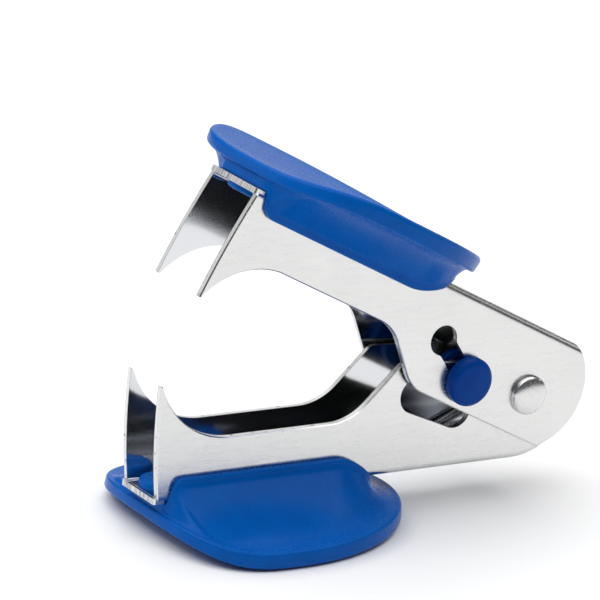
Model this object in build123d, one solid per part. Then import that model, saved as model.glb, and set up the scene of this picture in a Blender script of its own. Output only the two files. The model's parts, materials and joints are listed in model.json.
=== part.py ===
from build123d import *
import math
import os

# Claw staple remover with a slide lock, standing open on its lower grip.
# Millimetres. +X runs from the claws to the pivot, +Z is up, and the lower jaw's web is level.
# Each jaw is drawn in a frame of its own: the pivot axis is the origin, x runs along the web with
# the claws at negative x, and z points at the upper jaw's back. "Near" is the -Y side, "far" +Y.

# ---------------------------------------------------------------- driving dimensions
SHEET = 0.8                  # plated steel sheet of both jaws
BEND_RADIUS = 1.0            # outside radius of the bend between a web and its side plates
BEND_INSIDE = 0.3            # inside radius of the same bend
EDGE_CHAMFER = 0.14          # softened edge round the outside of each side plate
CUT_DEPTH = 3 * SHEET        # cuts through one sheet start and end well clear of it
TOUCH = 0.01                 # how close an edge has to lie to a plane to be picked

UPPER_HALF_WIDTH = 5.2       # the upper jaw is the outer channel
LOWER_HALF_WIDTH = 3.95      # the lower jaw is the inner channel
UPPER_BACK = 8.5             # outer face of the upper web above the pivot
LOWER_BACK = 9.3             # outer face of the lower web below the pivot
OPEN_ANGLE = 25.8            # degrees between the webs when the spring holds the jaws open

RIM_HEIGHT = 5.0             # flat part of a grip's rim above the web that the grip sits on
PIVOT_X = 22.9               # centres the open remover over the origin
PIVOT_Z = LOWER_BACK + RIM_HEIGHT

UPPER_FRONT = -53.6          # front ends of the two webs
LOWER_FRONT = -53.9
TAB_REACH = 0.55             # how far a web's sheared front edge stands out past the side plates
TAB_ROOT = 1.0               # length of the tab that lies inside the web
TAB_INSET = 0.15             # the tab is this much narrower than the web on each side
TAB_THINNING = 0.06
TAB_CORNER = 0.35
CORE_LENGTH = 90.0           # blank that hollows a channel, longer than any jaw
CORE_MIDDLE_X = -25.0

# rounds of the jaws' side plates
UPPER_THROAT_RADIUS = 5.6
UPPER_ARM_RADIUS = 6.4
LOWER_ARM_RADIUS = 7.6
LOWER_CREST_RADIUS = 1.1
LOWER_SHOULDER_RADIUS = 1.2
LOWER_REAR_TURN = -30        # degrees; where the lower jaw's rear arc is pinned round the pivot

# pivot rivet and spring
RIVET_RADIUS = 1.6
RUNNING_FIT = 0.05
RIVET_HEAD_RADIUS = 2.6
RIVET_HEAD_HEIGHT = 1.45
RIVET_TAIL_RADIUS = 2.4
RIVET_TAIL_HEIGHT = 1.0
SHANK_OVERLAP = 0.3          # how far the shank runs into its head and tail
WIRE_RADIUS = 0.4
COIL_RADIUS = 2.6            # to the middle of the wire
COIL_TURNS = 4
COIL_PITCH = 0.86
COIL_START = 2.3             # y of the turn that carries the lower arm
ARM_REACH = 13.0             # where a spring arm rests on its web, forward of the pivot
ARM_CLEARANCE = 0.03

# slide lock, on the near side only: pin centres are in the upper jaw's frame
LOCK_FREE = (-10.4, -1.66)
LOCK_HELD = (-16.65, 1.61)
NECK_RADIUS = 1.25
FLANGE_RADIUS = 3.2
FLANGE_OUTER_Y = -3.05       # the flange runs just inside the lower jaw's near plate
FLANGE_THICKNESS = 1.05
CAP_RADIUS = 3.2
CAP_INNER_Y = -5.3
CAP_THICKNESS = 1.85
CAP_ROUND = 0.55
PRESS_DEPTH = 1.25           # how far the neck is pressed into the cap
SLOT_FREE_RADIUS = 2.8
SLOT_HELD_RADIUS = 2.0
SLOT_WAIST = 2.8
SLOT_BLEND = 1.0
POCKET_FREE = (-10.2, -1.6)  # rear pocket of the lower jaw's window, in the lower jaw's frame
POCKET_FREE_RADIUS = 2.3
POCKET_HELD = (-16.6, 1.15)  # front pocket: it keeps the jaws shut when the pin sits in it
POCKET_HELD_RADIUS = 2.45
WINDOW_TOP = 4.62
WINDOW_CORNER = (-9.8, 3.07)

# grips
POST_X = (-51.4, -36.8)
POST_RADIUS = 1.5
POST_HEAD_RADIUS = 2.5
POST_HEAD_HEIGHT = 1.2
POST_HEAD_ROUND = 0.5
POST_ROOT = 1.0              # how far a post runs up into its grip
GRIP_FRONT = -53.6
GRIP_FRONT_SQUARENESS = 2.9
GRIP_REAR = -17.0
GRIP_WIDEST_X = -39.8
GRIP_HALF_WIDTH = 16.85
DISH_DEPTH = 2.6
DISH_RADIUS = 52.0
DISH_CENTRE_X = -37.0
FRONT_DIP = 2.4              # how much lower the rim runs at the middle of the front
FRONT_SPLINE_STEP = 15       # degrees between the points of the front's outline
GRIP_FIT = 0.04              # room between a grip and its jaw
SKIRT_WALL = 1.0
UPPER_SKIRT_DEPTH = 2.8
LOWER_SKIRT_DEPTH = 3.45
WING_UNDERSIDE = 2.75        # underside of the wings at their outer edge
BLANK_EDGE = 17.0            # half width of the blank, just past the grip's widest point
BLANK_LENGTH = 80.0
GRIP_SPAN = 40.0             # generous width and height of the blanks that are cut to shape


def in_side_view(outline, half_width):
    """Extrude a closed side-view wire to a solid that spans -half_width to half_width in y."""
    face = make_face(outline)
    return extrude(face, amount=half_width, dir=(0, 1, 0), both=True)


def side_point(x, z):
    """A point of a side view, which lies in the XZ plane."""
    return Vector(x, 0, z)


def line(a, b):
    return Line(side_point(*a), side_point(*b))


def arc(a, through, b):
    return ThreePointArc(side_point(*a), side_point(*through), side_point(*b))


def rounded_corner(before, corner, after, radius):
    """Tangent points of a round between two straight edges, and the point midway round it."""
    c = Vector(*corner)
    to_before = (Vector(*before) - c).normalized()
    to_after = (Vector(*after) - c).normalized()
    half = math.radians(to_before.get_angle(to_after)) / 2
    reach = radius / math.tan(half)
    bisector = (to_before + to_after).normalized()
    middle = c + bisector * (radius / math.sin(half) - radius)
    start = c + to_before * reach
    end = c + to_after * reach
    return (start.X, start.Y), (middle.X, middle.Y), (end.X, end.Y)


def y_cylinder(x, z, y_from, y_to, radius):
    """Cylinder along y between two planes."""
    middle = (y_from + y_to) / 2
    return Pos(x, middle, z) * Rot(90, 0, 0) * Cylinder(radius, abs(y_to - y_from))


def place_lower(shape):
    return Pos(PIVOT_X, 0, PIVOT_Z) * shape


def place_upper(shape):
    return Pos(PIVOT_X, 0, PIVOT_Z) * Rot(0, OPEN_ANGLE, 0) * shape


# ---------------------------------------------------------------- upper jaw
def upper_outline():
    """Side plate of the upper jaw: web edge, rear end, throat, arm and claw."""
    front_top = (UPPER_FRONT, UPPER_BACK)
    rear_top = (4.2, UPPER_BACK)
    rear_low = (5.4, -5.55)
    arm_z = 0.42
    slope_top = (-25.0, arm_z)
    slope_low = (-18.0, rear_low[1])
    claw_root = (-45.0, arm_z)
    tip_back = (-54.1, -6.35)
    tip = (-54.42, -6.45)
    low_a, low_mid, low_b = rounded_corner(rear_low, slope_low, slope_top, UPPER_THROAT_RADIUS)
    high_a, high_mid, high_b = rounded_corner(slope_low, slope_top, claw_root, UPPER_ARM_RADIUS)
    return Wire([
        line(front_top, rear_top),
        arc(rear_top, (8.75, 1.6), rear_low),
        line(rear_low, low_a),
        arc(low_a, low_mid, low_b),
        line(low_b, high_a),
        arc(high_a, high_mid, high_b),
        line(high_b, claw_root),
        arc(claw_root, (-50.35, -1.55), tip_back),
        line(tip_back, tip),
        arc(tip, (-54.28, 0.6), front_top),
    ])


def lock_slot():
    """Peanut-shaped slot: a large lobe where the button rests, a small one where it locks."""
    run = Vector(*LOCK_HELD) - Vector(*LOCK_FREE)
    angle = math.degrees(math.atan2(run.Y, run.X))
    middle = (Vector(*LOCK_HELD) + Vector(*LOCK_FREE)) * 0.5
    waist = Pos(middle.X, middle.Y) * Rot(0, 0, angle) * Rectangle(run.length, SLOT_WAIST)
    slot = waist + Pos(*LOCK_FREE) * Circle(SLOT_FREE_RADIUS) + Pos(*LOCK_HELD) * Circle(SLOT_HELD_RADIUS)
    necks = [v for v in slot.vertices() if (Vector(v) - middle).length < run.length / 2]
    return fillet(necks, SLOT_BLEND)


def cut_near_plate(sketch, y_outer):
    """Prism of a side-view sketch through the near plate alone."""
    upright = Rot(90, 0, 0) * sketch
    return extrude(Pos(0, y_outer - SHEET, 0) * upright, amount=CUT_DEPTH, dir=(0, 1, 0))


def channel(outline, half_width, web_inside, web_outside):
    """Folded U channel: two side plates joined by a web."""
    solid = in_side_view(outline, half_width)
    toward_web = math.copysign(1, web_outside)
    web_edges = solid.edges().filter_by(Axis.X).filter_by(
        lambda e: abs(e.center().Z - web_outside) < TOUCH and abs(e.center().Y) > half_width - TOUCH)
    solid = fillet(web_edges, BEND_RADIUS)
    outline_edges = solid.edges().filter_by(
        lambda e: abs(abs(e.center().Y) - half_width) < TOUCH and e.bounding_box().size.Y < TOUCH)
    solid = chamfer(outline_edges, EDGE_CHAMFER)
    inner_half = half_width - SHEET
    core_z = web_inside - toward_web * GRIP_SPAN / 2
    core = Pos(CORE_MIDDLE_X, 0, core_z) * Box(CORE_LENGTH, 2 * inner_half, GRIP_SPAN)
    core_edges = core.edges().filter_by(Axis.X).filter_by(
        lambda e: abs(e.center().Z - web_inside) < TOUCH)
    return solid - fillet(core_edges, BEND_INSIDE)


def front_tab(front_x, half_width, web_middle):
    """Sheared front edge of a web, with rounded ends."""
    tab = Box(TAB_REACH + TAB_ROOT, 2 * (half_width - TAB_INSET), SHEET - TAB_THINNING)
    tab = fillet(tab.edges().filter_by(Axis.Z).group_by(Axis.X)[0], TAB_CORNER)
    return Pos(front_x + (TAB_ROOT - TAB_REACH) / 2, 0, web_middle) * tab


def post_holes(web_middle):
    """Holes through a web for the posts of its grip."""
    holes = [Pos(x, 0, web_middle) * Cylinder(POST_RADIUS, CUT_DEPTH) for x in POST_X]
    return Compound(holes)


def make_upper_jaw():
    """Outer channel, with the lock's slot in its near plate."""
    web_inside = UPPER_BACK - SHEET
    web_middle = UPPER_BACK - SHEET / 2
    jaw = channel(upper_outline(), UPPER_HALF_WIDTH, web_inside, UPPER_BACK)
    jaw += front_tab(UPPER_FRONT, UPPER_HALF_WIDTH, web_middle)
    jaw -= y_cylinder(0, 0, -GRIP_SPAN, GRIP_SPAN, RIVET_RADIUS + RUNNING_FIT)
    jaw -= cut_near_plate(lock_slot(), -UPPER_HALF_WIDTH)
    jaw -= post_holes(web_middle)
    return jaw


# ---------------------------------------------------------------- lower jaw
def lower_outline():
    """Side plate of the lower jaw: web edge, rear end, opening stop, crest, arm and claw."""
    front_low = (LOWER_FRONT, -LOWER_BACK)
    tip = (-55.06, 6.25)
    tip_back = (-54.8, 6.15)
    arm_z = -1.38
    claw_root = (-44.5, arm_z)
    rise_low = (-26.3, arm_z)
    rise_top = (-19.25, 5.66)
    top_rear = (-8.0, 4.98)
    neck = (-6.2, 3.55)
    stop_foot = (3.5, 3.55)
    stop = (6.82, 5.13)
    stop_rear = (8.08, 4.6)
    bottom_rear = (0.0, -LOWER_BACK)
    foot_a, foot_mid, foot_b = rounded_corner(claw_root, rise_low, rise_top, LOWER_ARM_RADIUS)
    top_a, top_mid, top_b = rounded_corner(rise_low, rise_top, top_rear, LOWER_CREST_RADIUS)
    end_a, end_mid, end_b = rounded_corner(rise_top, top_rear, neck, LOWER_SHOULDER_RADIUS)
    turn = math.radians(LOWER_REAR_TURN)
    on_rear = (LOWER_BACK * math.cos(turn), LOWER_BACK * math.sin(turn))
    return Wire([
        line(front_low, bottom_rear),
        arc(bottom_rear, on_rear, stop_rear),
        line(stop_rear, stop),
        line(stop, stop_foot),
        line(stop_foot, neck),
        line(neck, end_b),
        arc(end_b, end_mid, end_a),
        line(end_a, top_b),
        arc(top_b, top_mid, top_a),
        line(top_a, foot_b),
        arc(foot_b, foot_mid, foot_a),
        line(foot_a, claw_root),
        arc(claw_root, (-50.4, 0.55), tip_back),
        line(tip_back, tip),
        arc(tip, (-54.95, -0.4), front_low),
    ])


def lock_window():
    """Window of the lower jaw's near plate: two pockets, and the sweep of the pin between them."""
    front = Pos(*POCKET_HELD) * Circle(POCKET_HELD_RADIUS)
    rear = Pos(*POCKET_FREE) * Circle(POCKET_FREE_RADIUS)
    pockets = make_hull(front.edges() + rear.edges())
    corner_radius = WINDOW_TOP - WINDOW_CORNER[1]
    corner = Pos(*WINDOW_CORNER) * Circle(corner_radius)
    sweep = make_face(Polyline(
        (POCKET_HELD[0] - 0.3, POCKET_HELD[1] + POCKET_HELD_RADIUS - 0.02),
        (-13.3, WINDOW_TOP),
        (WINDOW_CORNER[0], WINDOW_TOP),
        (WINDOW_CORNER[0] + corner_radius, WINDOW_CORNER[1]),
        (-8.75, 0.2),
        POCKET_FREE,
        POCKET_HELD,
        close=True,
    ))
    return pockets + corner + sweep


def make_lower_jaw():
    """Inner channel, with the lock's window in its near plate."""
    web_inside = SHEET - LOWER_BACK
    web_middle = SHEET / 2 - LOWER_BACK
    jaw = channel(lower_outline(), LOWER_HALF_WIDTH, web_inside, -LOWER_BACK)
    jaw += front_tab(LOWER_FRONT, LOWER_HALF_WIDTH, web_middle)
    jaw -= y_cylinder(0, 0, -GRIP_SPAN, GRIP_SPAN, RIVET_RADIUS + RUNNING_FIT)
    jaw -= cut_near_plate(lock_window(), -LOWER_HALF_WIDTH)
    jaw -= post_holes(web_middle)
    return jaw


# ---------------------------------------------------------------- grips
def grip_front(turn):
    """Point of the squarish front half of the outline; turn runs from 90 to 270 degrees."""
    c = math.cos(math.radians(turn))
    n = math.sin(math.radians(turn))
    power = 2 / GRIP_FRONT_SQUARENESS
    x = GRIP_WIDEST_X - (GRIP_WIDEST_X - GRIP_FRONT) * abs(c) ** power
    y = math.copysign(GRIP_HALF_WIDTH * abs(n) ** power, n)
    return (x, y)


def grip_plan():
    """Outline of a grip, seen square to the web: squarish in front, half an ellipse behind."""
    points = [(GRIP_WIDEST_X, GRIP_HALF_WIDTH)]
    points += [grip_front(turn) for turn in range(90 + FRONT_SPLINE_STEP, 270, FRONT_SPLINE_STEP)]
    points += [(GRIP_WIDEST_X, -GRIP_HALF_WIDTH)]
    front = Spline(points, tangents=[(-1, 0), (1, 0)], tangent_scalars=[1.5, 1.5])
    rear = EllipticalCenterArc((GRIP_WIDEST_X, 0), GRIP_REAR - GRIP_WIDEST_X, GRIP_HALF_WIDTH, 270,
                               arc_size=180)
    return make_face([front, rear])


def grip_section(jaw_half, skirt_depth):
    """Wings and skirts seen along the jaw, h measured outward from the web's outer face."""
    wall = jaw_half + GRIP_FIT
    skirt_out = wall + SKIRT_WALL
    blank_top = RIM_HEIGHT + 1
    wing_edge = (BLANK_EDGE, WING_UNDERSIDE)
    halves = []
    for side in (1, -1):
        def at(y, h):
            return (side * y, h)
        halves.append(make_face([
            Polyline([at(0, blank_top), at(0, 0), at(wall, 0), at(wall, -skirt_depth),
                      at(skirt_out, -skirt_depth)]),
            ThreePointArc(at(skirt_out, -skirt_depth), at(skirt_out + 2.9, 0.7), at(*wing_edge)),
            Polyline([at(*wing_edge), at(BLANK_EDGE, blank_top), at(0, blank_top)]),
        ]))
    return halves[0] + halves[1]


def grip_profile(skirt_depth):
    """Side view of a grip: skirts that stop short at both ends, and a rim that dips at the front."""
    top = RIM_HEIGHT
    ahead = GRIP_FRONT - 1
    behind = GRIP_REAR + 1
    front_end = (-53.4, 0.1)
    flat_front = (-50.6, -skirt_depth)
    flat_rear = (-26.0, -skirt_depth)
    rear_end = (-19.2, 0.6)
    rear_low = (behind, 2.1)
    rear_high = (behind, top - 0.4)
    level_rear = (-24.0, top)
    level_front = (-45.5, top)
    dip = TangentArc(level_front, (ahead, top - FRONT_DIP), tangent=(-1, 0))
    return make_face([
        ThreePointArc(front_end, (-52.5, -0.62 * skirt_depth), flat_front),
        Line(flat_front, flat_rear),
        ThreePointArc(flat_rear, (-23.2, -0.72 * skirt_depth), rear_end),
        Line(rear_end, rear_low),
        Line(rear_low, rear_high),
        Line(rear_high, level_rear),
        Line(level_rear, level_front),
        dip,
        Line(dip @ 1, (ahead, 0.6)),
        Line((ahead, 0.6), front_end),
    ])


def make_grip(jaw_half, skirt_depth):
    """One moulded grip, with posts through the web and formed heads inside the channel."""
    plan = Pos(0, 0, -GRIP_SPAN / 2) * extrude(grip_plan(), amount=GRIP_SPAN)
    section = Plane.YZ * grip_section(jaw_half, skirt_depth)
    section = Pos(-BLANK_LENGTH, 0, 0) * extrude(section, amount=BLANK_LENGTH, dir=(1, 0, 0))
    profile = Rot(90, 0, 0) * grip_profile(skirt_depth)
    profile = extrude(profile, amount=GRIP_SPAN / 2, dir=(0, 1, 0), both=True)
    grip = plan & section & profile
    dish_z = RIM_HEIGHT - DISH_DEPTH + DISH_RADIUS
    grip -= Pos(DISH_CENTRE_X, 0, dish_z) * Sphere(DISH_RADIUS)
    post = Pos(0, 0, (POST_ROOT - SHEET) / 2) * Cylinder(POST_RADIUS, POST_ROOT + SHEET)
    head = Cylinder(POST_HEAD_RADIUS, POST_HEAD_HEIGHT)
    head = fillet(head.edges().group_by(Axis.Z)[0], POST_HEAD_ROUND)
    head = Pos(0, 0, -SHEET - POST_HEAD_HEIGHT / 2) * head
    for x in POST_X:
        grip += Pos(x, 0, 0) * post
        grip += Pos(x, 0, 0) * head
    return grip


def make_upper_grip():
    return Pos(0, 0, UPPER_BACK) * make_grip(UPPER_HALF_WIDTH, UPPER_SKIRT_DEPTH)


def make_lower_grip():
    grip = make_grip(LOWER_HALF_WIDTH, LOWER_SKIRT_DEPTH)
    return mirror(Pos(0, 0, LOWER_BACK) * grip, about=Plane.XY)


# ---------------------------------------------------------------- pivot rivet, spring and lock
def dome(radius, height, y_base, outward):
    """Shallow round head on a plane y = y_base that faces outward (+1 or -1)."""
    ball_radius = (radius ** 2 + height ** 2) / (2 * height)
    ball = Pos(0, y_base + outward * (height - ball_radius), 0) * Sphere(ball_radius)
    keep = y_cylinder(0, 0, y_base, y_base + outward * 2 * height, radius)
    return ball & keep


def make_pivot_rivet():
    seat = UPPER_HALF_WIDTH + RUNNING_FIT
    shank_end = seat + SHANK_OVERLAP
    rivet = y_cylinder(0, 0, -shank_end, shank_end, RIVET_RADIUS)
    rivet += dome(RIVET_HEAD_RADIUS, RIVET_HEAD_HEIGHT, -seat, -1)
    rivet += dome(RIVET_TAIL_RADIUS, RIVET_TAIL_HEIGHT, seat, 1)
    return rivet


def leave_angle(target, side):
    """Angle on the coil, seen from the side, where a straight arm to target leaves it."""
    spread = math.acos(COIL_RADIUS / math.hypot(*target))
    return math.atan2(target[1], target[0]) - side * spread


def wire_between(start, end):
    """Straight round wire."""
    run = end - start
    return extrude(Plane(start, z_dir=run) * Circle(WIRE_RADIUS), amount=run.length)


def make_torsion_spring():
    """Coil round the rivet with one arm on each web, at the angle of the open jaws."""
    opening = math.radians(OPEN_ANGLE)
    lower_rest = LOWER_BACK - SHEET - WIRE_RADIUS - ARM_CLEARANCE
    upper_rest = UPPER_BACK - SHEET - WIRE_RADIUS - ARM_CLEARANCE
    lower_tip = (-ARM_REACH, -lower_rest)
    upper_tip = (upper_rest * math.sin(opening) - ARM_REACH * math.cos(opening),
                 upper_rest * math.cos(opening) + ARM_REACH * math.sin(opening))
    lower_leave = leave_angle(lower_tip, -1)
    upper_leave = leave_angle(upper_tip, 1)
    turns = COIL_TURNS + (upper_leave - lower_leave) / (2 * math.pi)
    helix = Helix(pitch=COIL_PITCH, height=COIL_PITCH * turns, radius=COIL_RADIUS)
    path = Pos(0, COIL_START, 0) * Rot(90, 0, 0) * Rot(0, 0, math.degrees(lower_leave)) * helix
    start = path @ 0
    end = path @ 1
    coil = sweep(Plane(start, z_dir=path % 0) * Circle(WIRE_RADIUS), path=path, is_frenet=True)
    lower_arm = wire_between(Vector(lower_tip[0], start.Y, lower_tip[1]), start)
    upper_arm = wire_between(end, Vector(upper_tip[0], end.Y, upper_tip[1]))
    return coil + lower_arm + upper_arm


def make_lock_pin():
    """Neck through the slot, with the flange that runs inside the lower jaw."""
    inner = FLANGE_OUTER_Y + FLANGE_THICKNESS
    x, z = LOCK_FREE
    pin = y_cylinder(x, z, FLANGE_OUTER_Y, inner, FLANGE_RADIUS)
    pin += y_cylinder(x, z, FLANGE_OUTER_Y, CAP_INNER_Y - PRESS_DEPTH, NECK_RADIUS)
    return pin


def make_lock_button():
    """Cap outside the upper jaw, bored for the neck."""
    x, z = LOCK_FREE
    outer = CAP_INNER_Y - CAP_THICKNESS
    cap = y_cylinder(x, z, CAP_INNER_Y, outer, CAP_RADIUS)
    cap = fillet(cap.edges().group_by(Axis.Y)[0], CAP_ROUND)
    return cap - y_cylinder(x, z, CAP_INNER_Y, CAP_INNER_Y - PRESS_DEPTH, NECK_RADIUS)


if __name__ == "__main__":
    os.makedirs("parts", exist_ok=True)
    for name, shape in {
        "lower_jaw": place_lower(make_lower_jaw()),
        "upper_jaw": place_upper(make_upper_jaw()),
        "lower_grip": place_lower(make_lower_grip()),
        "upper_grip": place_upper(make_upper_grip()),
        "pivot_rivet": place_lower(make_pivot_rivet()),
        "torsion_spring": place_lower(make_torsion_spring()),
        "lock_pin": place_upper(make_lock_pin()),
        "lock_button": place_upper(make_lock_button()),
    }.items():
        export_step(shape, f"parts/{name}.step")
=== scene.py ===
import json
import math

import bpy
import numpy as np
from mathutils import Matrix, Vector


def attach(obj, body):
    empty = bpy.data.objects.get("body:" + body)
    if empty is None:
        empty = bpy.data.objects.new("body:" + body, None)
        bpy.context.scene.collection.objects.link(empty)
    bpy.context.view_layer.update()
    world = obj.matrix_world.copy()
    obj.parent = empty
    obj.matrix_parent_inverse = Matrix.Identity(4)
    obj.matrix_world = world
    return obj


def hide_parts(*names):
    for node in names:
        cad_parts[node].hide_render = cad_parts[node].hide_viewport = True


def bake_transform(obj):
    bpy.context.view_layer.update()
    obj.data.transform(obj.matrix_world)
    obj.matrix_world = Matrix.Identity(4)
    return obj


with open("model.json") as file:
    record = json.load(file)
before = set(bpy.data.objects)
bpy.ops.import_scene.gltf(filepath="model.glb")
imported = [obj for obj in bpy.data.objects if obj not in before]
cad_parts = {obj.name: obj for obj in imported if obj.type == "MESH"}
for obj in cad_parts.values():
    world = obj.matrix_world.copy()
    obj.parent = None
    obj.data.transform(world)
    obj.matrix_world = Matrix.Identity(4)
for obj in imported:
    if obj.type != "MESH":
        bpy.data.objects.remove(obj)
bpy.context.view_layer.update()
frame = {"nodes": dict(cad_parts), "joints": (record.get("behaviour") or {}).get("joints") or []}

MM = 0.001
HINGE = next(j for j in frame["joints"] if j["name"] == "jaw_hinge")
PIVOT = Vector(HINGE["pos_m"])
OPENING = math.radians(HINGE["range_deg"][1])

# Sizes in millimetres, in each jaw's own frame: the pivot is the origin, x runs along the web
# with the claws at negative x, and height is measured from the pivot towards the web.
UPPER_BACK = 8.5
LOWER_BACK = 9.3
SHEET = 0.8
UPPER_HALF = 5.2
LOWER_HALF = 3.95
WIDEST_X = -39.8             # where a grip is widest
RIM_FRONT = 13.8             # reach of the rim in front of that, behind it and to each side
RIM_REAR = 22.8
RIM_SIDE = 16.85
FRONT_SQUARENESS = 2.9       # exponent of the squarish front half of the outline
RIM_TOP = 5.0                # height of the rim's flat part above the web's outer face
RIM_UNDERSIDE = 2.8
FRONT_DIP = 2.0              # how much lower the rim runs at the middle of the front, and at the rear
REAR_DIP = 0.65
DISH_FLOOR = 2.45
DISH_MIDDLE_X = WIDEST_X + 3.0

TO_METRES = Matrix.Diagonal((MM, MM, MM, 1))
UPPER_FRAME = Matrix.Translation(PIVOT) @ Matrix.Rotation(OPENING, 4, "Y") @ TO_METRES
LOWER_FRAME = Matrix.Translation(PIVOT) @ TO_METRES


# ---------------------------------------------------------------- mesh helpers
def mesh_object(name, points, faces, place, smooth_angle=None):
    """A mesh object from points in millimetres, set in the row frame by place."""
    mesh = bpy.data.meshes.new(name)
    mesh.from_pydata([place @ Vector(p) for p in points], [], faces)
    mesh.validate()
    obj = bpy.data.objects.new(name, mesh)
    bpy.context.scene.collection.objects.link(obj)
    bpy.context.view_layer.objects.active = obj
    obj.select_set(True)
    bpy.ops.object.mode_set(mode="EDIT")
    bpy.ops.mesh.select_all(action="SELECT")
    bpy.ops.mesh.normals_make_consistent(inside=False)
    bpy.ops.object.mode_set(mode="OBJECT")
    if smooth_angle is None:
        bpy.ops.object.shade_smooth()
    else:
        bpy.ops.object.shade_smooth_by_angle(angle=math.radians(smooth_angle))
    obj.select_set(False)
    return obj


def rings_to_mesh(rings):
    """Points and faces of a closed skin through equal rings, with a fan over each end."""
    count = len(rings[0])
    points = [tuple(p) for ring in rings for p in ring]
    faces = []
    for r in range(len(rings) - 1):
        for i in range(count):
            j = (i + 1) % count
            faces.append((r * count + i, r * count + j, (r + 1) * count + j, (r + 1) * count + i))
    for base, ring in ((0, rings[0]), ((len(rings) - 1) * count, rings[-1])):
        points.append(tuple(np.mean(ring, axis=0)))
        hub = len(points) - 1
        faces.extend((base + i, base + (i + 1) % count, hub) for i in range(count))
    return points, faces


def lathe(name, profile, axis_x, axis_z, place, steps=96):
    """Solid of revolution about an axis along y; profile is (radius, y) from end to end."""
    turns = [2 * math.pi * i / steps for i in range(steps)]
    circle = [(math.cos(t), math.sin(t)) for t in turns]
    rings = [[(axis_x + r * c, y, axis_z + r * s) for c, s in circle] for r, y in profile]
    points, faces = rings_to_mesh(rings)
    return mesh_object(name, points, faces, place, smooth_angle=40)


def smoothstep(low, high, value):
    """0 below low, 1 above high, and a smooth rise between."""
    t = np.clip((value - low) / (high - low), 0, 1)
    return t * t * (3 - 2 * t)


# ---------------------------------------------------------------- grips
GRIP_COLUMNS = 288
DISH_RINGS = 40
PANEL_RINGS = 34
DISH_EDGE = 1.35             # width of the rim between its outline and the dish
DISH_HOLLOW = 2.1            # exponent of the dish's curve
TOP_ROLL = 0.62              # round over the rim's upper edge
LOW_ROLL = 0.4               # round under the rim
ROLL_STEPS = 6
SKIRT_WALL = 0.95
SKIRT_GAP = 0.05             # between the skirt and the jaw
SKIRT_SQUARENESS = 9.0
SKIRT_BEAD = 0.95            # height of the bead along the skirt's edge
RIM_DRAFT = 0.12             # how far the rim's side leans in
SHOULDER_END = (-51.6, -48.6)  # x over which the solid front shoulder turns into the hollow flank
HOLLOW_END = (-24.0, -18.5)    # x over which the hollow runs out at the rear
FLANK_CURVE = 0.95           # exponent of the flank's section, and what the hollow adds to it
HOLLOW_CURVE = 1.35


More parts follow.
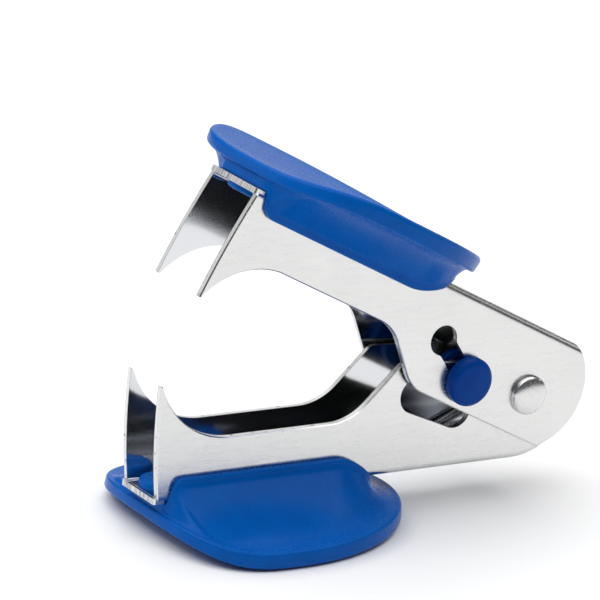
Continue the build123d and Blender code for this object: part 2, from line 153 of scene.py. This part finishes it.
def grip_rings(jaw_half, skirt_depth, skirt_flat, skirt_ends):
    """Rings of one grip from the middle of the dish, over the rim, down the hollow flank to the
    skirt and in to the web. Height is outward from the web's outer face."""
    turn = np.linspace(0, 2 * math.pi, GRIP_COLUMNS, endpoint=False)
    along = np.cos(turn)
    across = np.sin(turn)
    in_front = along < 0
    power = np.where(in_front, 2 / FRONT_SQUARENESS, 1.0)
    reach = np.where(in_front, RIM_FRONT, RIM_REAR)
    rim_x = WIDEST_X + reach * np.sign(along) * np.abs(along) ** power
    rim_y = RIM_SIDE * np.sign(across) * np.abs(across) ** power
    front = np.clip((WIDEST_X - rim_x) / RIM_FRONT, 0, 1)
    rear = np.clip((rim_x - WIDEST_X) / RIM_REAR, 0, 1)
    rim_top = RIM_TOP - FRONT_DIP * front ** 3.6 - REAR_DIP * rear ** 2.6
    rim_low = RIM_UNDERSIDE - 1.5 * front ** 4 - 0.5 * rear ** 1.6
    step_x = np.roll(rim_x, -1) - np.roll(rim_x, 1)
    step_y = np.roll(rim_y, -1) - np.roll(rim_y, 1)
    length = np.hypot(step_x, step_y)
    normal_x = step_y / length
    normal_y = -step_x / length

    # the skirt's edge is a rounded rectangle round the jaw
    wall = jaw_half + SKIRT_GAP
    skirt_out = wall + SKIRT_WALL
    box_x = np.sign(along) * np.abs(along) ** (2 / SKIRT_SQUARENESS)
    box_y = np.sign(across) * np.abs(across) ** (2 / SKIRT_SQUARENESS)
    box_front, box_rear = skirt_ends
    skirt_x = WIDEST_X + np.where(in_front, WIDEST_X - box_front, box_rear - WIDEST_X) * box_x
    skirt_y = skirt_out * box_y
    flat_front, flat_rear = skirt_flat
    past_front = np.clip((flat_front - skirt_x) / (flat_front - box_front), 0, 1)
    past_rear = np.clip((skirt_x - flat_rear) / (box_rear - flat_rear), 0, 1)
    drop = (1 - past_front ** 1.7) ** 0.6 * (1 - past_rear ** 1.9)
    on_side = smoothstep(wall - 0.05, wall + 0.6, np.abs(skirt_y))
    skirt_low = -skirt_depth * drop * on_side + 0.04

    def ring(x, y, h):
        return np.stack([x, y, h], axis=1)

    def inset(distance, height):
        return ring(rim_x - normal_x * distance, rim_y - normal_y * distance, height)

    rings = []
    # dish: from the middle out to the inside of the rim
    edge = inset(DISH_EDGE, rim_top - 0.22)
    hub = np.array([DISH_MIDDLE_X, 0.0, DISH_FLOOR])
    for k in range(1, DISH_RINGS + 1):
        s = k / DISH_RINGS
        flat = hub[:2] + (edge[:, :2] - hub[:2]) * s
        height = hub[2] + (edge[:, 2] - hub[2]) * s ** DISH_HOLLOW
        rings.append(ring(flat[:, 0], flat[:, 1], height))
    # rim: a full round over the edge, then its upright side
    rings.append(inset(1.0, rim_top - 0.07))
    for k in range(ROLL_STEPS + 1):
        a = math.pi / 2 * k / ROLL_STEPS
        rings.append(inset(TOP_ROLL * (1 - math.sin(a)), rim_top - TOP_ROLL * (1 - math.cos(a))))
    for k in range(ROLL_STEPS):
        a = math.pi / 2 * k / (ROLL_STEPS - 1)
        distance = RIM_DRAFT + LOW_ROLL * (1 - math.cos(a))
        rings.append(inset(distance, rim_low + LOW_ROLL * (1 - math.sin(a))))
    # flank: hollow for the fingertip behind a solid shoulder at the front
    at_front = smoothstep(0.86, 0.97, front)
    start = inset(RIM_DRAFT + LOW_ROLL + 0.35 * (1 - at_front), rim_low + 0.03)
    end = ring(skirt_x, skirt_y, np.minimum(skirt_low + SKIRT_BEAD, rim_low - 0.1))
    behind_shoulder = smoothstep(*SHOULDER_END, start[:, 0])
    running_out = smoothstep(*HOLLOW_END, start[:, 0])
    flank_power = FLANK_CURVE + HOLLOW_CURVE * behind_shoulder * (1 - 0.6 * running_out)
    for k in range(PANEL_RINGS + 1):
        t = k / PANEL_RINGS
        flat = start[:, :2] + (end[:, :2] - start[:, :2]) * t
        height = start[:, 2] + (end[:, 2] - start[:, 2]) * t ** flank_power
        rings.append(ring(flat[:, 0], flat[:, 1], height))
    # bead along the skirt's edge, then its inner wall up to the web
    shrink = wall / skirt_out

    def skirt_ring(scale, height):
        """The skirt's outline drawn in across the jaw, and less along it."""
        x = WIDEST_X + (skirt_x - WIDEST_X) * (1 - (1 - scale) * 0.18)
        return ring(x, skirt_y * scale, height)

    rings.append(ring(skirt_x, skirt_y, np.minimum(skirt_low + 0.4, end[:, 2] - 0.03)))
    rings.append(skirt_ring(0.985, np.minimum(skirt_low + 0.12, end[:, 2] - 0.06)))
    rings.append(skirt_ring(0.95, np.minimum(skirt_low, end[:, 2] - 0.08)))
    rings.append(skirt_ring(shrink + 0.02, np.minimum(skirt_low, end[:, 2] - 0.09)))
    rings.append(skirt_ring(shrink, np.minimum(skirt_low + 0.1, end[:, 2] - 0.05)))
    rings.append(skirt_ring(shrink, np.full(GRIP_COLUMNS, 0.06)))
    return rings


def make_grip(name, body, jaw_half, skirt, mirrored, back, place, material):
    """One grip in its jaw's frame; the lower one is mirrored, because its web faces down."""
    rings = grip_rings(jaw_half, *skirt)
    if mirrored:
        rings = [r * np.array([1, 1, -1]) - np.array([0, 0, back]) for r in rings]
    else:
        rings = [r + np.array([0, 0, back]) for r in rings]
    points, faces = rings_to_mesh(rings)
    grip = mesh_object(name, points, faces, place)
    grip.data.materials.append(material)
    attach(grip, body)
    return grip


POST_RADIUS = 1.45
HEAD_STEPS = 64


def post_head(name, body, x, base, inward, flatten, place, material):
    """Formed head of a grip's post, on the inner face of the web. Profile is (radius, height)."""
    profile = [(POST_RADIUS, -SHEET - 0.1), (POST_RADIUS, 0.0), (2.5, 0.02), (2.56, 0.25), (2.5, 0.75)]
    profile += [(2.3, 1.05), (1.9, 1.18), (1.2, 1.2), (0.75, 1.08), (0.4, 1.02)]
    turns = [2 * math.pi * i / HEAD_STEPS for i in range(HEAD_STEPS)]
    circle = [(math.cos(t), math.sin(t)) for t in turns]
    rings = [[(x + r * c, r * s, base + inward * flatten * h) for c, s in circle] for r, h in profile]
    points, faces = rings_to_mesh(rings)
    head = mesh_object(name, points, faces, place, smooth_angle=50)
    head.data.materials.append(material)
    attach(head, body)
    return head


# ---------------------------------------------------------------- materials
def new_material(name):
    """A material, its node tree and its shader."""
    material = bpy.data.materials.new(name)
    material.use_nodes = True
    tree = material.node_tree
    return material, tree, tree.nodes["Principled BSDF"]


def noise(tree, scale, detail=4.0, stretch=(1, 1, 1), rough=0.5):
    """Noise in the object's own space; stretch draws the grain out along an axis."""
    coords = tree.nodes.new("ShaderNodeTexCoord")
    mapping = tree.nodes.new("ShaderNodeMapping")
    mapping.inputs["Scale"].default_value = stretch
    texture = tree.nodes.new("ShaderNodeTexNoise")
    texture.inputs["Scale"].default_value = scale
    texture.inputs["Detail"].default_value = detail
    texture.inputs["Roughness"].default_value = rough
    tree.links.new(coords.outputs["Object"], mapping.inputs["Vector"])
    tree.links.new(mapping.outputs["Vector"], texture.inputs["Vector"])
    return texture.outputs["Fac"]


def ramp(tree, source, low, high, low_colour, high_colour):
    """Colour that runs from low_colour at low to high_colour at high."""
    node = tree.nodes.new("ShaderNodeValToRGB")
    node.color_ramp.elements[0].position = low
    node.color_ramp.elements[1].position = high
    node.color_ramp.elements[0].color = (*low_colour, 1)
    node.color_ramp.elements[1].color = (*high_colour, 1)
    tree.links.new(source, node.inputs["Fac"])
    return node.outputs["Color"]


def spread(tree, source, low, high):
    """Maps a noise's middle range to low..high."""
    node = tree.nodes.new("ShaderNodeMapRange")
    node.inputs["From Min"].default_value = 0.3
    node.inputs["From Max"].default_value = 0.7
    node.inputs["To Min"].default_value = low
    node.inputs["To Max"].default_value = high
    tree.links.new(source, node.inputs["Value"])
    return node.outputs["Result"]


def bump(tree, shader, height, distance, strength):
    """Fine relief; distance is in metres."""
    node = tree.nodes.new("ShaderNodeBump")
    node.inputs["Distance"].default_value = distance
    node.inputs["Strength"].default_value = strength
    tree.links.new(height, node.inputs["Height"])
    tree.links.new(node.outputs["Normal"], shader.inputs["Normal"])


INNER_SHADE_TONE = (0.68, 0.69, 0.71)    # inside of a channel: painted shade, a little darker than the outer plate
INNER_ROUGHNESS = 0.11
STRIPE_TONE = (0.34, 0.34, 0.35)   # shear marks on the web's front end
FRONT_ROUGHNESS = 0.42
PAINTED_EDGE_LINE_TONE = (0.09, 0.09, 0.095)  # painted dark reflection lines along the borders of a sheared edge
CUT_ROUGHNESS = 0.3


def absolute(tree, source):
    node = tree.nodes.new("ShaderNodeMath")
    node.operation = "ABSOLUTE"
    tree.links.new(source, node.inputs[0])
    return node.outputs[0]


def mask(tree, source, at_none, at_full):
    """0 where source is at_none, 1 where it is at_full."""
    node = tree.nodes.new("ShaderNodeMapRange")
    node.inputs["From Min"].default_value = at_none
    node.inputs["From Max"].default_value = at_full
    tree.links.new(source, node.inputs["Value"])
    return node.outputs["Result"]


def combine(tree, operation, first, second):
    """One step of arithmetic on two masks."""
    node = tree.nodes.new("ShaderNodeMath")
    node.operation = operation
    tree.links.new(first, node.inputs[0])
    tree.links.new(second, node.inputs[1])
    return node.outputs[0]


def mix_colour(tree, factor, base, colour):
    """The base colour, turning to colour where factor is 1."""
    node = tree.nodes.new("ShaderNodeMix")
    node.data_type = "RGBA"
    node.inputs["B"].default_value = (*colour, 1)
    tree.links.new(factor, node.inputs["Factor"])
    tree.links.new(base, node.inputs["A"])
    return node.outputs["Result"]


def mix_number(tree, factor, base, number):
    """The base value, turning to number where factor is 1."""
    node = tree.nodes.new("ShaderNodeMix")
    node.inputs["B"].default_value = number
    tree.links.new(factor, node.inputs["Factor"])
    tree.links.new(base, node.inputs["A"])
    return node.outputs["Result"]


def chrome(name, tone, grain_axis, relief, plate=None):
    """Satin chrome plate, with fine rolling grain. For a jaw, plate is its inner and outer half width:
    its inside is smoother and a little darker with painted shade, its sheared edges carry painted dark
    reflection lines along their borders and dark flecks, and its front is striped."""
    material, tree, shader = new_material(name)
    shader.inputs["Metallic"].default_value = 1.0
    grain = noise(tree, 2600.0, 5.0, grain_axis, 0.6)
    cloud = noise(tree, 160.0, 3.0)
    colour = ramp(tree, cloud, 0.3, 0.7, tuple(c * 0.965 for c in tone), tone)
    rough = spread(tree, grain, 0.2, 0.3)
    if plate is not None:
        inner, outer = plate
        coords = tree.nodes.new("ShaderNodeTexCoord")
        place_split = tree.nodes.new("ShaderNodeSeparateXYZ")
        tree.links.new(coords.outputs["Object"], place_split.inputs["Vector"])
        side = absolute(tree, place_split.outputs["Y"])
        normal_split = tree.nodes.new("ShaderNodeSeparateXYZ")
        tree.links.new(coords.outputs["Normal"], normal_split.inputs["Vector"])
        facing = absolute(tree, normal_split.outputs["Y"])
        inside = mask(tree, side, (inner + 0.05) * MM, (inner + 0.02) * MM)
        # painted shade: the inside of the channel is a little darker than the outer plate, and smoother
        colour = mix_colour(tree, inside, colour, INNER_SHADE_TONE)
        rough = mix_number(tree, inside, rough, INNER_ROUGHNESS)
        faces_front = mask(tree, normal_split.outputs["X"], -0.5, -0.6)
        front_end = combine(tree, "MULTIPLY", faces_front, inside)
        stripes = mask(tree, noise(tree, 4200.0, 2.0, (0.1, 1, 0.1)), 0.46, 0.62)
        colour = mix_colour(tree, combine(tree, "MULTIPLY", front_end, stripes), colour, STRIPE_TONE)
        rough = mix_number(tree, front_end, rough, FRONT_ROUGHNESS)
        in_plate = mask(tree, side, inner * MM, (inner + 0.01) * MM)
        cut = combine(tree, "MULTIPLY", mask(tree, facing, 0.5, 0.4), in_plate)
        rough = mix_number(tree, cut, rough, CUT_ROUGHNESS)
        fleck = mask(tree, noise(tree, 1500.0, 2.0), 0.62, 0.74)
        # painted reflection: dark lines along both borders of each sheared edge stand for the rolled-over
        # edge reflecting the dark surround; the flecks are marks of the shear
        outer_painted_line = mask(tree, side, (outer - 0.19) * MM, (outer - 0.15) * MM)
        inner_painted_line = mask(tree, side, (inner + 0.08) * MM, (inner + 0.05) * MM)
        painted_edge_lines = combine(tree, "MAXIMUM", outer_painted_line, inner_painted_line)
        painted_lines_and_flecks = combine(tree, "MULTIPLY", cut, combine(tree, "MAXIMUM", painted_edge_lines, fleck))
        colour = mix_colour(tree, painted_lines_and_flecks, colour, PAINTED_EDGE_LINE_TONE)
    tree.links.new(colour, shader.inputs["Base Color"])
    tree.links.new(rough, shader.inputs["Roughness"])
    bump(tree, shader, grain, relief, 0.25)
    return material


def moulded_plastic(name, deep, light, roughness):
    """Satin injection-moulded plastic with faint mottling and a fine spark texture."""
    material, tree, shader = new_material(name)
    shader.inputs["IOR"].default_value = 1.5
    shader.inputs["Specular IOR Level"].default_value = 0.07
    mottling = noise(tree, 420.0, 3.0)
    spark = noise(tree, 5200.0, 3.0, (1, 1, 1), 0.6)
    tree.links.new(ramp(tree, mottling, 0.3, 0.7, deep, light), shader.inputs["Base Color"])
    finish = spread(tree, spark, roughness - 0.05, roughness + 0.05)
    tree.links.new(finish, shader.inputs["Roughness"])
    bump(tree, shader, spark, 0.00001, 0.4)
    return material


def drawn_wire(name, tone):
    """Bright drawn wire with slight draw marks."""
    material, tree, shader = new_material(name)
    shader.inputs["Metallic"].default_value = 1.0
    wear = ramp(tree, noise(tree, 300.0), 0.3, 0.7, tuple(c * 0.9 for c in tone), tone)
    tree.links.new(wear, shader.inputs["Base Color"])
    lines = noise(tree, 3000.0, 3.0)
    tree.links.new(spread(tree, lines, 0.22, 0.38), shader.inputs["Roughness"])
    bump(tree, shader, lines, 0.00001, 0.4)
    return material


ALONG_SHEET = (0.12, 1, 1)   # the rolling grain runs along the sheet
STEEL_TONE = (0.72, 0.72, 0.712)
PLATE_RELIEF = 0.000005
RIVET_RELIEF = 0.0000008
NO_GRAIN = (1, 1, 1)
UPPER_PLATE = (UPPER_HALF - SHEET, UPPER_HALF)
LOWER_PLATE = (LOWER_HALF - SHEET, LOWER_HALF)
upper_steel = chrome("upper_steel", STEEL_TONE, ALONG_SHEET, PLATE_RELIEF, UPPER_PLATE)
lower_steel = chrome("lower_steel", STEEL_TONE, ALONG_SHEET, PLATE_RELIEF, LOWER_PLATE)
rivet_steel = chrome("rivet_steel", (0.70, 0.70, 0.695), NO_GRAIN, RIVET_RELIEF)
blue_grip = moulded_plastic("blue_grip", (0.0, 0.088, 0.395), (0.0, 0.100, 0.435), 0.27)
blue_button = moulded_plastic("blue_button", (0.0, 0.044, 0.26), (0.0, 0.052, 0.29), 0.24)
spring_steel = drawn_wire("spring_steel", (0.52, 0.52, 0.54))

# ---------------------------------------------------------------- the object's pieces
for node, material in (("upper_jaw", upper_steel), ("lower_jaw", lower_steel)):
    obj = frame["nodes"][node]
    obj.data.materials.clear()
    obj.data.materials.append(material)

# each skirt: its depth, the x of the ends of its level edge, and the x of its own ends
UPPER_SKIRT = (2.8, (-50.4, -26.2), (-53.0, -19.2))
LOWER_SKIRT = (3.45, (-51.2, -28.0), (-53.0, -21.8))
upper_grip = make_grip("upper_grip_shell", "upper", UPPER_HALF, UPPER_SKIRT, False, UPPER_BACK,
                       UPPER_FRAME, blue_grip)
lower_grip = make_grip("lower_grip_shell", "lower", LOWER_HALF, LOWER_SKIRT, True, LOWER_BACK,
                       LOWER_FRAME, blue_grip)
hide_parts("upper_grip")
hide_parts("lower_grip")

POSTS = (-51.4, -36.8)
UPPER_WEB_INSIDE = UPPER_BACK - SHEET
LOWER_WEB_INSIDE = SHEET - LOWER_BACK
UPPER_HEAD_FLATTEN = 0.6
for number, post_x in enumerate(POSTS, 1):
    post_head(f"upper_post_head_{number}", "upper", post_x, UPPER_WEB_INSIDE, -1, UPPER_HEAD_FLATTEN,
              UPPER_FRAME, blue_grip)
    post_head(f"lower_post_head_{number}", "lower", post_x, LOWER_WEB_INSIDE, 1, 1.0,
              LOWER_FRAME, blue_grip)

# pivot rivet: domed head, shank and formed tail
SEAT = UPPER_HALF + 0.05
HEAD_RADIUS, HEAD_RIM, HEAD_CROWN = 2.55, 0.45, 0.72
SHANK_RADIUS = 1.6
rivet_profile = [(HEAD_RADIUS * math.sin(a), -SEAT - HEAD_RIM - HEAD_CROWN * math.cos(a))
                 for a in np.linspace(0.06, math.pi / 2, 14)]
rivet_profile += [(2.6, -SEAT - 0.2), (2.58, -SEAT), (SHANK_RADIUS, -SEAT + 0.002)]
rivet_profile += [(SHANK_RADIUS, SEAT - 0.002), (2.38, SEAT), (2.4, SEAT + 0.15), (2.2, SEAT + 0.5)]
rivet_profile += [(1.75, SEAT + 0.82), (1.2, SEAT + 0.98), (0.5, SEAT + 1.0)]
rivet = lathe("rivet", rivet_profile, 0, 0, LOWER_FRAME)
rivet.data.materials.append(rivet_steel)
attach(rivet, "lower")
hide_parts("pivot_rivet")

# slide lock: cap outside the upper jaw's near plate, neck and flange behind it
LOCK_X, LOCK_Z = -10.4, -1.66    # its middle at rest, in the upper jaw's frame
CAP_RADIUS, NECK_RADIUS, FLANGE_RADIUS = 3.2, 1.25, 3.2
CAP_BACK, CAP_ROUND_FROM = -5.3, -6.15
CAP_ROUND_ACROSS, CAP_ROUND_HEIGHT = 0.95, 0.78
cap_profile = [(NECK_RADIUS, CAP_BACK), (3.05, CAP_BACK), (CAP_RADIUS, -5.42), (CAP_RADIUS, CAP_ROUND_FROM)]
for a in np.linspace(0.15, math.pi / 2, 10):
    radius = CAP_RADIUS - CAP_ROUND_ACROSS * (1 - math.cos(a))
    cap_profile.append((radius, CAP_ROUND_FROM - CAP_ROUND_HEIGHT * math.sin(a)))
cap_profile += [(1.8, -7.0), (1.2, -7.06), (0.6, -7.1), (0.2, -7.11)]
cap = lathe("lock_cap", cap_profile, LOCK_X, LOCK_Z, UPPER_FRAME)
stem_profile = [(0.4, -6.5), (NECK_RADIUS, -6.5), (NECK_RADIUS, -3.08), (3.1, -3.05)]
stem_profile += [(FLANGE_RADIUS, -2.95), (FLANGE_RADIUS, -2.15), (3.08, -2.0), (0.5, -2.0)]
stem = lathe("lock_stem", stem_profile, LOCK_X, LOCK_Z, UPPER_FRAME)
for piece, node in ((cap, "lock_button"), (stem, "lock_pin")):
    piece.data.materials.append(blue_button)
    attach(piece, "lock")
    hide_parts(node)

# torsion spring: a round wire along the coil and its two arms
WIRE = 0.4                   # radius of the wire
COIL = 2.6                   # radius of the coil, to the middle of the wire
COIL_FROM, COIL_PITCH, COIL_TURNS = 2.3, 0.86, 4
ARM = 13.0                   # where an arm rests on its web, forward of the pivot
REST_GAP = 0.03
COIL_STEPS = 240
ARM_STEPS = 30


def spring_route():
    """Centre line of the wire: lower arm, coil, upper arm, in the lower jaw's frame."""
    low_rest = LOWER_BACK - SHEET - WIRE - REST_GAP
    high_rest = UPPER_BACK - SHEET - WIRE - REST_GAP
    low_tip = (-ARM, -low_rest)
    high_tip = (high_rest * math.sin(OPENING) - ARM * math.cos(OPENING),
                high_rest * math.cos(OPENING) + ARM * math.sin(OPENING))
    low_leave = math.atan2(low_tip[1], low_tip[0]) + math.acos(COIL / math.hypot(*low_tip))
    high_leave = math.atan2(high_tip[1], high_tip[0]) - math.acos(COIL / math.hypot(*high_tip))
    sweep = 2 * math.pi * COIL_TURNS + high_leave - low_leave
    rise = COIL_PITCH / (2 * math.pi)
    coil = []
    for i in range(COIL_STEPS + 1):
        a = low_leave + sweep * i / COIL_STEPS
        coil.append(Vector((COIL * math.cos(a), COIL_FROM - rise * (a - low_leave), COIL * math.sin(a))))
    low_end = Vector((low_tip[0], coil[0].y, low_tip[1]))
    high_end = Vector((high_tip[0], coil[-1].y, high_tip[1]))
    low_arm = [low_end.lerp(coil[0], i / ARM_STEPS) for i in range(ARM_STEPS)]
    high_arm = [coil[-1].lerp(high_end, i / ARM_STEPS) for i in range(1, ARM_STEPS + 1)]
    return low_arm + coil + high_arm


def wire_rings(route, radius, steps=16):
    """Round sections along a route, without twist."""
    rings = []
    side = Vector((0, 1, 0))
    for i, p in enumerate(route):
        ahead = (route[min(i + 1, len(route) - 1)] - route[max(i - 1, 0)]).normalized()
        side = (side - ahead * side.dot(ahead)).normalized()
        other = ahead.cross(side)
        end_scale = 0.8 if i in (0, len(route) - 1) else 1.0
        rings.append([tuple(p + (side * math.cos(t) + other * math.sin(t)) * radius * end_scale)
                      for t in (2 * math.pi * k / steps for k in range(steps))])
    return rings


spring_points, spring_faces = rings_to_mesh(wire_rings(spring_route(), WIRE))
spring = mesh_object("spring_wire", spring_points, spring_faces, LOWER_FRAME, smooth_angle=60)
spring.data.materials.append(spring_steel)
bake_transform(spring)
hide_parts("torsion_spring")

# ---------------------------------------------------------------- floor, light and camera
FLOOR_DROP = 0.0002
FLOOR_SIZE = 6.0
bpy.ops.mesh.primitive_plane_add(size=FLOOR_SIZE, location=(0, 0, -FLOOR_DROP))
floor = bpy.context.object
floor.name = "floor"
floor_material, floor_tree, floor_shader = new_material("floor_white")
floor_shader.inputs["Roughness"].default_value = 0.9
floor_shader.inputs["Specular IOR Level"].default_value = 0.1
floor_tone = ramp(floor_tree, noise(floor_tree, 3.0), 0.3, 0.7, (0.90, 0.90, 0.90), (0.92, 0.92, 0.92))
floor_tree.links.new(floor_tone, floor_shader.inputs["Base Color"])
floor.data.materials.append(floor_material)


def softbox(name, position, target, width, height, power):
    """Rectangular lamp aimed at target."""
    data = bpy.data.lights.new(name, "AREA")
    data.shape = "RECTANGLE"
    data.size = width
    data.size_y = height
    data.energy = power
    light = bpy.data.objects.new(name, data)
    bpy.context.scene.collection.objects.link(light)
    light.location = position
    light.rotation_mode = "QUATERNION"
    light.rotation_quaternion = (Vector(target) - Vector(position)).to_track_quat("-Z", "Y")
    return light


softbox("ceiling", (0.0, 0.15, 1.0), (0, 0.1, 0), 2.0, 2.0, 24.5)
softbox("key", (-0.6, 0.1, 0.56), (0, 0, 0.02), 0.5, 0.4, 1.1)
softbox("rear_card", (0.62, 0.80, 0.30), (0, 0, 0.03), 0.9, 0.42, 1.1)
softbox("left_card", (-0.66, 0.80, 0.26), (0, 0, 0.03), 0.7, 0.36, 0.75)
softbox("right_strip", (1.0, -0.06, 0.34), (0, 0, 0.03), 0.5, 0.07, 0.25)

world = bpy.data.worlds.new("studio")
world.use_nodes = True
world.node_tree.nodes["Background"].inputs["Color"].default_value = (0.96, 0.98, 1.0, 1)
world.node_tree.nodes["Background"].inputs["Strength"].default_value = 0.1
bpy.context.scene.world = world
bpy.context.scene.view_settings.view_transform = "Standard"

VIEW_SIDE, VIEW_RISE, VIEW_ROLL = math.radians(37.9), math.radians(18.7), math.radians(7.16)
VIEW_DISTANCE = 0.64
FOCAL_LENGTH = 298.7
LOOK_AT = Vector((-0.0104, 0.0, 0.0284))

level = Vector((math.cos(VIEW_SIDE), -math.sin(VIEW_SIDE), 0))
outward = Vector((-math.sin(VIEW_SIDE), -math.cos(VIEW_SIDE), 0))
back = outward * math.cos(VIEW_RISE) + Vector((0, 0, math.sin(VIEW_RISE)))
upright = back.cross(level)
right = level * math.cos(VIEW_ROLL) + upright * math.sin(VIEW_ROLL)
camera_place = PIVOT + back * VIEW_DISTANCE
aim = (camera_place - LOOK_AT).normalized()
up = aim.cross(right).normalized()
right = up.cross(aim)
camera_data = bpy.data.cameras.new("camera")
camera_data.lens = FOCAL_LENGTH
camera_data.sensor_width = 36.0
camera_data.clip_start = 0.05
camera_data.clip_end = 20.0
camera = bpy.data.objects.new("camera", camera_data)
bpy.context.scene.collection.objects.link(camera)
turned = Matrix((right, up, aim)).transposed().to_4x4()
camera.matrix_world = Matrix.Translation(camera_place) @ turned
bpy.context.scene.camera = camera
